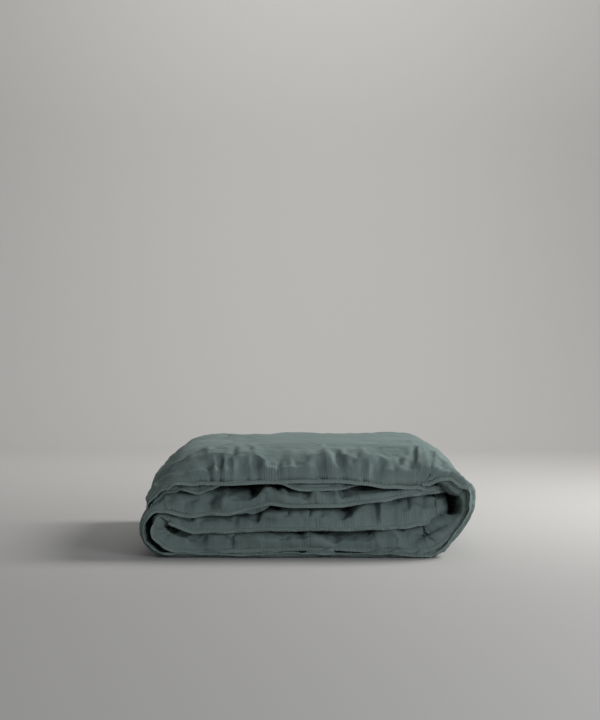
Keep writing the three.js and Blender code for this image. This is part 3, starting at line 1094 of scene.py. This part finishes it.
# %% The inner duvet
HEAD_MARGIN = 45 * MM
FOOT_MARGIN = 84 * MM
BINDINGS = {"top": "insert_binding_head", "inner_turns": "insert_binding_foot"}
for name, inset, least, material, slot in (
    ("inner_casing", 8.0 * MM, 1.8 * MM, casing_cotton, "casing_cotton"),
    ("inner_filling", 9.5 * MM, 2.6 * MM, filling, "filling"),
):
    inner = strip_grid(along, inset=inset)[0] + (grid - smooth_grid)
    valleys = np.minimum(all_strokes(inner, along, behind_seam), 0)
    inner += normals_of(inner) * valleys[..., None]
    inner[..., 1] += 15 * MM * np.clip(1 - (inner[..., 1] - front_y - 0.08) / 0.08, 0, 1)
    for where in CUTS:
        rows = rows_between(along, where)
        gaps = np.clip(0.6 * half_room[rows], 0.3 * MM, least)
        inner[rows] = kept_inside(inner[rows], gaps, cover_surfaces[where])
    for where in CUTS:
        piece = tube_piece(
            name + "_" + where, inner[:, ::2], along, where, material,
            first=HEAD_MARGIN, last=roll_length - FOOT_MARGIN,
        )
        for section in SECTIONS[where]:
            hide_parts(name.replace("inner", "insert") + "_" + section)
        if name == "inner_casing" and where in BINDINGS:
            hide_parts(BINDINGS[where])

# %% [markdown]
# ## Seams
# The cover's panels are joined by a flat, double-stitched edge that stands out from the padded
# part. It follows the seam of the simulated cloth. Its section is thin at the two stitch rows,
# where the thread pulls the layers together, and its free edge waves.

# %% The section of the flat edge
FLANGE = 5.6 * MM
STITCH_ROWS = (1.0 * MM, 4.0 * MM)
# (distance out from the seam, half the thickness), in millimetres
flange_section = [
    (-2.0, 0.9), (0.3, 0.9), (1.0, 0.5), (1.7, 0.9), (3.3, 0.9), (4.0, 0.5), (4.7, 0.8), (5.6, 0.45),
]


# %% [markdown]
# In places the edge is tucked under the cloth, out of sight: 0 stands out, 1 turns back. It hangs
# a little by its own weight, and it always stays square to the seam it runs along.

# %% The way the flat edge stands
tucked = {
    "outer": [
        (on_left(150), 0.0), (on_middle(-0.180), 0.8), (on_middle(0.180), 0.9), (roll_length, 0.3),
    ],
    "inner": [
        (on_top(0.100), 0.0), (on_top(0.150), 0.8), (on_right(150), 0.0), (on_bottom(0.10), 0.0),
        (on_bottom(0.04), 0.7), (on_bottom(-0.05), 0.2), (on_left(90), 0.0),
        (on_middle(-0.120), 0.3), (on_middle(0.0), 0.8), (on_middle(0.100), 0.6), (roll_length, 0.5),
    ],
}


def flange_frame(seam_points, behind_points, at, seed, tuck):
    """Points on the seam, the way out of the cloth, and the way across the flat edge."""
    rows = np.arange(len(seam_points))
    base = read_at(at, rows, seam_points)
    out = read_at(at, rows, blurred(seam_points - behind_points, 6, mode="edge"))
    out /= np.linalg.norm(out, axis=1)[:, None]
    tangent = blurred(np.gradient(base, axis=0), 3, mode="edge")
    tangent /= np.linalg.norm(tangent, axis=1)[:, None]
    hang = 0.45 + 0.45 * ripple(at, 14, seed + 3)
    out[:, 2] -= np.maximum(hang, 0)
    under = out * [1, -1, 1] + np.array([0, 0.4, 0])
    out = out * (1 - tuck)[:, None] + under * tuck[:, None]
    out -= (out * tangent).sum(1)[:, None] * tangent
    out /= np.linalg.norm(out, axis=1)[:, None]
    return base, out, np.cross(tangent, out), tangent


def flange_point(frame, metres, lift, wave):
    """Places this far out on the edge. Its wave grows towards the free side."""
    base, out, across, _ = frame
    share = np.clip(metres / FLANGE, 0, 1)
    return base + out * metres + across * (lift + wave * share**1.5)[:, None]


def flat_edge(name, frame, u, wave, where):
    """A flat, double-stitched edge, as one closed strip of cloth."""
    section = flange_section + [(out, -half) for out, half in reversed(flange_section)]
    rings = np.stack(
        [flange_point(frame, out * MM, half * MM + 0 * wave, wave) for out, half in section], 1
    )
    rings[..., 2] = np.maximum(rings[..., 2], 0.1 * MM)
    size = len(section)
    faces = grid_faces(len(rings), size).tolist()
    faces.append(list(range(size)))
    faces.append([(len(rings) - 1) * size + i for i in reversed(range(size))])
    outs = np.array([out for out, _ in section]) * MM
    uv = np.stack([u[:, None] + 0 * outs[None, :], outs[None, :] + 0 * u[:, None]], -1)
    piece = make_object(name, rings, faces, uv)
    mark_from_seam(piece, np.broadcast_to(-outs, rings.shape[:2]))
    finish_soft(piece, where, cover_cotton)
    return piece


# %% [markdown]
# The thread is spun and thick enough to see. Each stitch is a spindle that dips into the cloth
# at both ends. There are two rows, and each row shows on both sides.

# %% Stitches
STITCH = 3.0 * MM
STITCH_PITCH = 4.0 * MM
THREAD = 0.45 * MM


def stitches(name, frame, wave, u, where):
    """Two rows of thread on both sides of a flat edge. Each stitch is a small spindle."""
    starts = np.arange(u[0] + STITCH_PITCH, u[-1] - STITCH_PITCH, STITCH_PITCH)
    vertices, faces = [], []
    for row in STITCH_ROWS:
        for side in (-1, 1):
            lift = side * 0.75 * MM
            for start in starts:
                at = np.interp([start, start + STITCH / 2, start + STITCH], u, np.arange(len(u)))
                i = np.round(at).astype(int)
                picked = tuple(part[i] for part in frame)
                line = flange_point(picked, row, lift + 0 * wave[i], wave[i])
                out, across = picked[1][1], picked[2][1]
                ring = [line[1] + THREAD * v for v in (out, across, -out, -across)]
                first = len(vertices)
                sunk = across * side * 0.4 * MM
                vertices += [line[0] - sunk] + ring + [line[2] - sunk]
                for k in range(4):
                    a, b = first + 1 + k, first + 1 + (k + 1) % 4
                    faces += [[first, b, a], [first + 5, a, b]]
    piece = make_object(name, np.array(vertices), faces)
    finish_soft(piece, where, thread)
    return piece


# %% The edges along both long seams
outer_seam, inner_seam = (int(j) for j in np.flatnonzero(fine_behind == 0))
EDGE_STEP = 1.6 * MM
print("ring points on the seams:", outer_seam, inner_seam)
for label, seam, seed in (("outer", outer_seam, 91), ("inner", inner_seam, 95)):
    seam_points = fine_grid[:, seam]
    behind_points = (fine_grid[:, (seam + 2) % size] + fine_grid[:, seam - 2]) / 2
    for where in CUTS:
        rows = rows_between(fine_along, where)
        length = fine_along[rows][-1] - fine_along[rows][0]
        at = np.linspace(rows.start, rows.stop - 1, int(length / EDGE_STEP))
        u_here = np.interp(at, np.arange(len(fine_along)), fine_along)
        tuck = eased(u_here, *zip(*tucked[label]))
        frame_here = flange_frame(seam_points, behind_points, at, seed, tuck)
        wave = 1.6 * MM * ripple(u_here, 0.019, seed)
        wave += 0.5 * MM * ripple(u_here, 0.005, seed + 1)
        flat_edge(f"seam_edge_{label}_{where}", frame_here, u_here, wave, where)
        stitches(f"stitches_{label}_{where}", frame_here, wave, u_here, where)

# %% [markdown]
# The flap's end is sewn like the sides. At each corner its edge runs past the seam, where the two
# flat edges cross and make a pointed ear.

# %% The flap's sewn end
end_ring = fine_grid[0]
next_ring = fine_grid[2]
fold_column = int(np.argmax(end_ring[:inner_seam, 1]))
for label, face_ids in (
    ("outer", np.arange(0, fold_column)),
    ("inner", np.arange(inner_seam, fold_column, -1)),
):
    along_end = end_ring[face_ids]
    next_end = next_ring[face_ids]
    corner = along_end[0] - along_end[2]
    along_end = np.concatenate([[along_end[0] + corner], along_end])
    next_end = np.concatenate([[next_end[0] + corner], next_end])
    steps = distances(along_end)
    at = np.linspace(0, len(along_end) - 1, int(steps[-1] / EDGE_STEP))
    frame_here = flange_frame(along_end, next_end, at, 97, 0 * at)
    u_here = np.interp(at, np.arange(len(along_end)), steps)
    wave = 1.4 * MM * ripple(u_here, 0.023, 98)
    edge = flat_edge(f"end_edge_{label}", frame_here, u_here, wave, "top")
    stitches(f"end_stitches_{label}", frame_here, wave, u_here, "top")
    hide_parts("cover_end_hem")

# %% [markdown]
# ## The buttoned end
# Inside the roll the cover is closed by buttons. Each panel ends in a wide hem, a placket, that
# is two layers thicker than the cloth, so it shows as a raised band round the end.

# %% Plackets
PLACKET = 30 * MM
PLACKET_LIFT = 1.6 * MM
placket_rows = fine_along >= roll_length - PLACKET
for name, is_face in (("placket_button_side", True), ("placket_buttonhole_side", False)):
    columns = [j for j in range(size) if (fine_face[j] > 0.5) == is_face and fine_behind[j] > 0]
    if not is_face:
        columns = sorted(columns, key=lambda j: (j - inner_seam) % size)
    part = fine_grid[placket_rows][:, columns]
    lift = normals_of(fine_grid)[placket_rows][:, columns]
    rows, width = part.shape[:2]
    outer = part + lift * PLACKET_LIFT
    under = part - lift * 0.5 * MM
    vertices = np.concatenate([outer.reshape(-1, 3), under.reshape(-1, 3)])
    top_faces = [
        [i * width + j, (i + 1) * width + j, (i + 1) * width + j + 1, i * width + j + 1]
        for i in range(rows - 1) for j in range(width - 1)
    ]
    below = rows * width
    faces = top_faces + [[below + corner for corner in reversed(face)] for face in top_faces]
    rim = [(0, j) for j in range(width)] + [(i, width - 1) for i in range(1, rows)]
    rim += [(rows - 1, j) for j in range(width - 2, -1, -1)]
    rim += [(i, 0) for i in range(rows - 2, 0, -1)]
    rim = [i * width + j for i, j in rim]
    faces += [[a, b, below + b, below + a] for a, b in zip(rim, rim[1:] + rim[:1])]
    panel_uv = uv[placket_rows][:, columns].reshape(-1, 2)
    piece = make_object("cover_" + name, vertices, faces, np.concatenate([panel_uv, panel_uv]))
    finish_soft(piece, "inner_turns", cover_cotton)
    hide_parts(name)


# %% [markdown]
# Out of sight, tapes in the corners tie the inner duvet to the cover, and a blank label is sewn
# in near the buttons. Each lies half way between the two panels of its half.

# %% Ties and label
def inside_tape(name, half, inset, width, first, last, thickness, material, where):
    """A tape that lies inside one half of the cover, along the strip."""
    row_ids = np.flatnonzero((fine_along >= first) & (fine_along <= last))
    outer, back = (outer_columns, outer_backs) if half == "outer" else (inner_columns, inner_backs)
    sections = []
    for i in row_ids:
        edges = []
        for y in (front_y + inset, front_y + inset + width):
            points = [
                fine_grid[i, group[np.argmin(abs(fine_grid[i, group, 1] - y))]]
                for group in (outer, back)
            ]
            middle = (points[0] + points[1]) / 2
            edges.append(np.array([middle[0], y, middle[2]]))
        sections.append(edges)
    edges = np.array(sections)
    up = normals_of(fine_grid)[row_ids][:, outer[20]] * thickness / 2
    ring = np.stack([edges[:, 0] + up, edges[:, 1] + up, edges[:, 1] - up, edges[:, 0] - up], 1)
    faces = grid_faces(len(ring), 4).tolist()
    faces += [[0, 1, 2, 3], [4 * len(ring) - k for k in (1, 2, 3, 4)]]
    piece = make_object("soft_" + name, ring, faces)
    finish_soft(piece, where, material)
    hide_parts(name)


columns = np.arange(size)
outer_columns = columns[columns < fold_column]
inner_columns = columns[(columns < inner_seam) & (columns > fold_column)]
back_fold = inner_seam + int(np.argmax(fine_grid[0, inner_seam:, 1]))
inner_backs = columns[(columns > inner_seam) & (columns < back_fold)]
outer_backs = columns[columns > back_fold]
for end, first, last, where in (
    ("head", 9 * MM, 37 * MM, "top"),
    ("foot", roll_length - 77 * MM, roll_length - 31 * MM, "inner_turns"),
):
    for half in ("outer", "inner"):
        inside_tape(
            f"corner_tie_{end}_{half}", half, 110 * MM, 12 * MM, first, last, 1.2 * MM,
            cotton_tape, where,
        )
inside_tape(
    "care_label", "outer", 45 * MM, 25 * MM, roll_length - 70 * MM, roll_length - 32 * MM, 0.8 * MM,
    label_cloth, "inner_turns",
)

# %% The buttons keep their CAD shape
for half in ("outer", "inner"):
    for i in (1, 2, 3):
        button = frame["nodes"][f"button_{half}_{i}"]
        button.data.materials.clear()
        button.data.materials.append(button_resin)

# %% [markdown]
# ## Stage and light
# A pale floor that curves up into the background, one large soft light on the right, a weaker one
# low in front, one for the background, and a dim, even sky. The shadow falls to the left.

# %% Floor and backdrop
FLOOR_FRONT, FLOOR_BACK, BACKDROP_HEIGHT, CURVE_RADIUS = -4.0, 3.2, 4.0, 1.6
profile = [(FLOOR_FRONT, 0.0), (FLOOR_BACK, 0.0)]
for i in range(1, 17):
    angle = math.pi / 2 * i / 16
    up = CURVE_RADIUS * (1 - math.cos(angle))
    profile.append((FLOOR_BACK + CURVE_RADIUS * math.sin(angle), up))
profile.append((FLOOR_BACK + CURVE_RADIUS, BACKDROP_HEIGHT))
FLOOR_HALF_WIDTH = 6.0
floor_vertices = np.array(
    [(x, y, z) for y, z in profile for x in (-FLOOR_HALF_WIDTH, FLOOR_HALF_WIDTH)]
)
floor_faces = [[2 * i, 2 * i + 1, 2 * i + 3, 2 * i + 2] for i in range(len(profile) - 1)]
floor = make_object("floor", floor_vertices, floor_faces)
floor_paint, tree, surface = new_material("matt_painted_board_warm_grey", 0.95)
surface.inputs["Base Color"].default_value = linear("#bcbbba")
floor.data.materials.append(floor_paint)
floor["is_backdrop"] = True

# %% Lights
def soft_light(name, place, aim, size, energy, colour):
    """A round area light, turned towards a point."""
    data = bpy.data.lights.new(name, "AREA")
    data.shape = "DISK"
    data.size = size
    data.energy = energy
    data.color = linear(colour)[:3]
    light = bpy.data.objects.new(name, data)
    light.location = place
    light.rotation_euler = (Vector(aim) - Vector(place)).to_track_quat("-Z", "Y").to_euler()
    bpy.context.collection.objects.link(light)


# Name, place, aim, diameter in metres, watts and colour.
soft_light("key", (2.1, 0.4, 1.7), (0, 0, 0.1), 1.2, 62, "#fffdfa")
soft_light("front", (1.6, -2.6, 0.75), (0, 0, 0.1), 1.2, 27, "#f8faff")
soft_light("backdrop", (0.3, 2.0, 3.6), (0, 4.6, 1.6), 2.5, 95, "#fffdfa")
world = bpy.data.worlds.new("studio")
world.use_nodes = True
world.node_tree.nodes["Background"].inputs["Color"].default_value = linear("#eceeee")
world.node_tree.nodes["Background"].inputs["Strength"].default_value = 0.25
bpy.context.scene.world = world
bpy.context.scene.view_settings.view_transform = "Standard"

# %% [markdown]
# ## Sizes
# The looks are compared with the CAD box, and the differences are printed.

# %% Compare the sizes
visual_box = [list(corner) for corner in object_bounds()]
for corner, name in ((0, "lowest"), (1, "highest")):
    apart = [round((visual_box[corner][k] - cad_box[corner][k]) / MM, 1) for k in range(3)]
    print(name, "corner differs by, mm:", apart)
